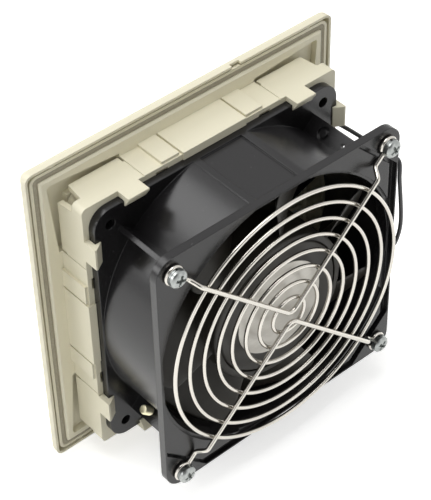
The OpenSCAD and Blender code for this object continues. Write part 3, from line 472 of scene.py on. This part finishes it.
# Guard screws: pan heads with a stamped cross, on plain shanks
screw = {
    "head": 7.4, "height": 2.3, "dome": 0.5, "shank": 4.3, "length": 8.0, "from": 55.4,
    "rim": 0.15, "tip": 0.4, "sides": 96,
    "crossLength": 4.4, "crossWidth": 1.0, "crossDepth": 1.3, "crossRise": 0.5, "crossEdge": 0.3,
    "turns": (20, 62, -15, 40),  # how far each cross is turned, in degrees
}
# shares of the head's radius, dense where the cross lies
headShares = np.concatenate([np.linspace(0.01, 0.72, 40), np.linspace(0.76, 1, 9)])[:, None]


def screwMesh(x, z, crossTurn):
    # polar grid: the dome falls with the fourth power of the radius, and a cross with
    # soft edges and rising ends is pressed into it
    k = screw
    angle = 2 * np.pi * np.arange(k["sides"]) / k["sides"]
    r = headShares * k["head"] / 2
    u = r * np.cos(angle - math.radians(crossTurn))
    v = r * np.sin(angle - math.radians(crossTurn))
    depth = 0
    for a, b in ((u, v), (v, u)):
        along = np.clip((k["crossLength"] / 2 - np.abs(a)) / k["crossRise"], 0, 1)
        beside = np.clip((k["crossWidth"] / 2 - np.abs(b)) / k["crossEdge"] + 0.5, 0, 1)
        depth = np.maximum(depth, k["crossDepth"] * np.sqrt(along) * beside)
    y = k["from"] + k["height"] * (1 - k["dome"] * headShares ** 4) - depth
    top = np.stack([x + r * np.cos(angle), y, z + r * np.sin(angle)], -1)
    head, shank, end = k["head"] / 2, k["shank"] / 2, k["from"] - k["length"]
    foot = latheRings([(head, k["from"] + k["rim"]), (head - k["rim"], k["from"]),
                       (shank, k["from"]), (shank, end + k["tip"]),
                       (shank - k["tip"], end)], k["sides"]) + [x, 0, z]
    return ringsToMesh(np.vstack([top, foot]))


at = guard["hole"]
makePiece("guardScrews", [screwMesh(x, z, t) for (x, z), t in
                          zip([(at, at), (-at, at), (at, -at), (-at, -at)], screw["turns"])],
          zinc, "housing", "guard_screws")
print("screws made")


# Earth screw: slotted head behind the web, and a cut thread on its free end. Its own
# axis is turned by 45 degrees into the corner of the fan
earth = {
    "at": (64.4, 26.6), "head": 6.6, "height": 2.3, "seat": -1.9, "rim": 0.3, "rimPower": 12,
    "slot": 0.9, "slotDepth": 1.3, "slotEdge": 0.1,
    "core": 3.44, "thread": 4.0, "pitch": 0.7, "cut": 0.4, "threadFrom": 1.0, "threadTo": 6.0,
    "runOut": 0.35, "sides": 96, "threadSteps": 100,
}
# shares of the head's radius, dense where the slot lies
earthShares = np.concatenate([np.linspace(0.01, 0.9, 36), [0.95, 1]])[:, None]


def earthMesh(k):
    # the head's face is a polar grid with a slot pressed in, and falls off at its rim
    # with a high power of the radius; on the thread, the radius falls and rises once
    # for each pitch, and the fall climbs by a pitch for each turn
    angle = 2 * np.pi * np.arange(k["sides"]) / k["sides"]
    r = earthShares * k["head"] / 2
    beside = np.clip((k["slot"] / 2 - np.abs(r * np.sin(angle))) / k["slotEdge"] + 0.5, 0, 1)
    fall = k["rim"] * earthShares ** k["rimPower"]
    z = k["seat"] - k["height"] + k["slotDepth"] * beside + fall
    face = np.stack([r * np.cos(angle), r * np.sin(angle), z], -1)
    z = np.linspace(k["threadFrom"], k["threadTo"], k["threadSteps"])[:, None]
    turns = (z - k["threadFrom"]) / k["pitch"] - angle / (2 * np.pi)
    ends = np.clip(np.minimum(z - k["threadFrom"], k["threadTo"] - z) / k["runOut"], 0, 1)
    r = k["thread"] / 2 - k["cut"] * (1 - ends * (2 * np.abs(turns % 1 - 0.5)))
    thread = np.stack([r * np.cos(angle), r * np.sin(angle), z + 0 * r], -1)
    plain = [np.stack([d / 2 * np.cos(angle), d / 2 * np.sin(angle), h + 0 * angle], -1)
             for d, h in ((k["head"], k["seat"]), (k["core"], k["seat"]),
                          (k["core"], k["threadFrom"]))]
    rings = np.vstack([face, plain, thread])
    x, y, z = rings[..., 0] + k["at"][0], rings[..., 1] + k["at"][1], rings[..., 2]
    c = math.sqrt(0.5)
    return ringsToMesh(np.stack([(x + z) * c, y, (z - x) * c], -1))


makePiece("earthScrew", [earthMesh(earth)], yellowZinc, "housing", "earth_screw", 30)
print("earth screw made")


# Foam gasket: a soft bead carried along the groove's square path
gasket = {
    "out": 70.95, "in": 68.95, "outCorner": 2.15, "inCorner": 1.0, "back": -1.2, "front": -2.2,
    "cornerSteps": 10, "sides": 16, "roundness": 0.45,
}


def squarePath(half, corner, steps):
    # straight sides and quarter circles, about the middle
    a = np.radians(np.linspace(0, 90, steps))
    quarters = ((1, 1, 0), (-1, 1, np.pi / 2), (-1, -1, np.pi), (1, -1, 3 * np.pi / 2))
    return np.vstack([np.stack([(half - corner) * sx + corner * np.cos(a + q),
                                (half - corner) * sz + corner * np.sin(a + q)], -1)
                      for sx, sz, q in quarters])


def beadMesh(g):
    # rounded rectangle of the bead's section, from the outer path inwards: a power
    # below 1 pushes the circle's sine and cosine out towards the corners
    a = 2 * np.pi * np.arange(g["sides"]) / g["sides"]
    across = np.sign(np.cos(a)) * np.abs(np.cos(a)) ** g["roundness"]
    along = np.sign(np.sin(a)) * np.abs(np.sin(a)) ** g["roundness"]
    y = (g["back"] + g["front"]) / 2 + (g["back"] - g["front"]) / 2 * along
    outer = squarePath(g["out"], g["outCorner"], g["cornerSteps"])
    inner = squarePath(g["in"], g["inCorner"], g["cornerSteps"])
    xz = inner[:, None] + (1 + across)[None, :, None] / 2 * (outer - inner)[:, None]
    return loopToMesh(np.stack([xz[..., 0], np.broadcast_to(y, xz.shape[:2]), xz[..., 1]], -1))


bead = makePiece("foamGasket", [beadMesh(gasket)], foam, "housing", "flange_gasket")
print("gasket made")


# Filter mat: a fleece pad, crowned a little between the cover and the grid
mat = {
    "half": 56.4, "corner": 5.5, "front": -4.95, "back": 1.95, "crown": 0.35,
    "edge": 3, "edgeShare": 0.25, "waveX": (7, 1.3, 11), "waveZ": (8, 1, 13), "cells": 90,
}


def matMesh(m):
    # two faces over one grid: each falls off by a soft edge and waves by a few tenths
    t = np.sin(np.linspace(-np.pi / 2, np.pi / 2, m["cells"]))
    x, z = np.meshgrid(t * m["half"], t * m["half"], indexing="ij")
    edge = np.minimum(m["half"] - np.abs(x), m["half"] - np.abs(z))
    # within a corner's square, a point keeps its direction from the arc's middle, and
    # its longer coordinate there becomes its distance
    past = np.maximum(np.abs(np.stack([x, z])) - (m["half"] - m["corner"]), 0)
    pull = 1 - past.max(0) / np.maximum(np.hypot(*past), 1e-9)
    x, z = np.stack([x, z]) - np.sign([x, z]) * past * pull
    soft = np.sqrt(np.clip(1 - (1 - np.clip(edge / m["edge"], 0, 1)) ** 2, 0, 1))
    (ax, bx, cx), (az, bz, cz) = m["waveX"], m["waveZ"]
    waves = np.sin(x / ax + bx * np.sin(z / cx)) * np.sin(z / az + bz * np.sin(x / cz))
    wave = m["crown"] * (waves - 1) / 2
    middle = (m["front"] + m["back"]) / 2
    reach = ((m["back"] - m["front"]) / 2 + wave) * (m["edgeShare"] + (1 - m["edgeShare"]) * soft)
    near = np.stack([x, middle - reach, z], -1)
    far = np.stack([x, middle + reach, z], -1)
    n = m["cells"]
    k = np.arange(n * n).reshape(n, n)
    quads = np.stack([k[:-1, :-1], k[1:, :-1], k[1:, 1:], k[:-1, 1:]], -1).reshape(-1, 4)
    rim = np.concatenate([k[0, :-1], k[:-1, -1], k[-1, :0:-1], k[:0:-1, 0]])
    after = np.roll(rim, -1)
    wall = np.stack([rim, after, after + n * n, rim + n * n], -1)
    faces = np.vstack([quads, quads[:, ::-1] + n * n, wall]).tolist()
    return np.vstack([near.reshape(-1, 3), far.reshape(-1, 3)]), faces


pad = makePiece("filterMat", [matMesh(mat)], fleece, "housing", "filter_mat", 80)
print("filter mat made")


# Nodes whose shape is right keep it and take their finish here
dressing = [
    (moulded, ("base_frame", "duct_grid", "front_cover")),
    (enamel, ("fan_frame",)),
    (polyamide, ("rotor_cup",)),
    (film, ("rotor_disc",)),
    (zinc, ("spring_washers",)),
    (yellowZinc, ("earth_washer",)),
    (resin, ("fan_terminals",)),
    (waxy, ("terminal_block",)),
    (brass, ("terminal_screws", "bearing_tube")),
    (ground, ("rear_bearing", "front_bearing", "rotor_shaft", "shaft_clip")),
    (laminated, ("stator_core",)),
    (copper, ("stator_windings",)),
    (bareCasting, ("rotor_ring",)),
]
for material, names in dressing:
    for name in names:
        nodes[name].data.materials.clear()
        nodes[name].data.materials.append(material)
print("nodes dressed")


# Floor, lamps and surroundings
studio = {
    "floor": "#F6F6F4", "floorAt": -74.35, "ambient": 0.33, "glow": 0.6,
    "reach": 4.0,  # half the floor's side, in metres as the lamps are
    "darkTo": (0.46, 0.57, 0.68),  # where a dark wall stands that only shiny faces show
    "darkFrom": 0.72, "darkFull": 0.9, "dark": 0.12,
    "lamps": {
        "overhead": {"place": (0.1, 0.0, 1.0), "size": 0.6, "power": 5.3},
        "leftFill": {"place": (0.9, 0.5, 0.35), "size": 0.5, "power": 1.0},
        "rightFill": {"place": (-0.4, 1.0, 0.3), "size": 0.5, "power": 0.4},
        "rearTop": {"place": (0.28, -0.58, 0.76), "size": 0.5, "power": 2.6},
        "rearLeft": {"place": (0.78, -0.58, 0.36), "size": 0.4, "power": 2.2},
    },
}
corners = [(x * studio["reach"], z * studio["reach"], studio["floorAt"] * mm)
           for x, z in ((-1, -1), (1, -1), (1, 1), (-1, 1))]
mesh = bpy.data.meshes.new("studioFloor")
mesh.from_pydata(corners, [], [(0, 1, 2, 3)])
floor = bpy.data.objects.new("studioFloor", mesh)
bpy.context.scene.collection.objects.link(floor)
paper, tree, shader, place = startMaterial("whitePaper", {
    "Base Color": toLinear(studio["floor"]), "Roughness": 0.9, "Emission Color": (1, 1, 1, 1)})
mesh.materials.append(paper)


def whereSeen(tree):
    # 1 for rays from the camera, off a shiny face or through a clear one, and else 0
    ray = addNode(tree, "ShaderNodeLightPath").outputs
    shown = addNode(tree, "ShaderNodeMath", {"operation": "ADD", "use_clamp": True},
                    {0: ray["Is Camera Ray"], 1: ray["Is Glossy Ray"]})
    return addNode(tree, "ShaderNodeMath", {"operation": "ADD", "use_clamp": True},
                   {0: shown.outputs[0], 1: ray["Is Transmission Ray"]}).outputs[0]


# The paper glows where it is seen, so it turns out white and still holds a soft shadow
glow = addNode(tree, "ShaderNodeMath", {"operation": "MULTIPLY", 1: studio["glow"]},
               {0: whereSeen(tree)})
tree.links.new(glow.outputs[0], shader.inputs["Emission Strength"])

# An even fill lights the object. Where the surroundings are seen they are white, and
# in shiny faces the dark wall fades in as the direction turns towards it
world = bpy.data.worlds.new("studio")
bpy.context.scene.world = world
world.use_nodes = True
tree = world.node_tree
tree.nodes.clear()
fill = addNode(tree, "ShaderNodeBackground", {"Color": (1, 1, 1, 1), "Strength": studio["ambient"]})
way = addNode(tree, "ShaderNodeTexCoord").outputs["Generated"]
facing = addNode(tree, "ShaderNodeVectorMath", {"operation": "DOT_PRODUCT", 1: studio["darkTo"]},
                 {0: way})
wall = addNode(tree, "ShaderNodeMapRange", {
    "From Min": studio["darkFrom"], "From Max": studio["darkFull"],
    "To Min": 1, "To Max": studio["dark"]}, {"Value": facing.outputs["Value"]})
glossy = addNode(tree, "ShaderNodeLightPath").outputs["Is Glossy Ray"]
level = addNode(tree, "ShaderNodeMix", {"data_type": "FLOAT", 2: 1},
                {0: glossy, 3: wall.outputs[0]})
seen = addNode(tree, "ShaderNodeBackground", {"Color": (1, 1, 1, 1)}, {"Strength": level.outputs[0]})
both = addNode(tree, "ShaderNodeMixShader",
               links={0: whereSeen(tree), 1: fill.outputs[0], 2: seen.outputs[0]})
addNode(tree, "ShaderNodeOutputWorld", links={"Surface": both.outputs[0]})

for name, values in studio["lamps"].items():
    data = bpy.data.lights.new(name, "AREA")
    data.shape, data.size, data.energy = "SQUARE", values["size"], values["power"]
    lamp = bpy.data.objects.new(name, data)
    lamp.location = values["place"]
    lamp.rotation_euler = (-Vector(values["place"])).to_track_quat("-Z", "Y").to_euler()
    bpy.context.scene.collection.objects.link(lamp)
print("studio made")
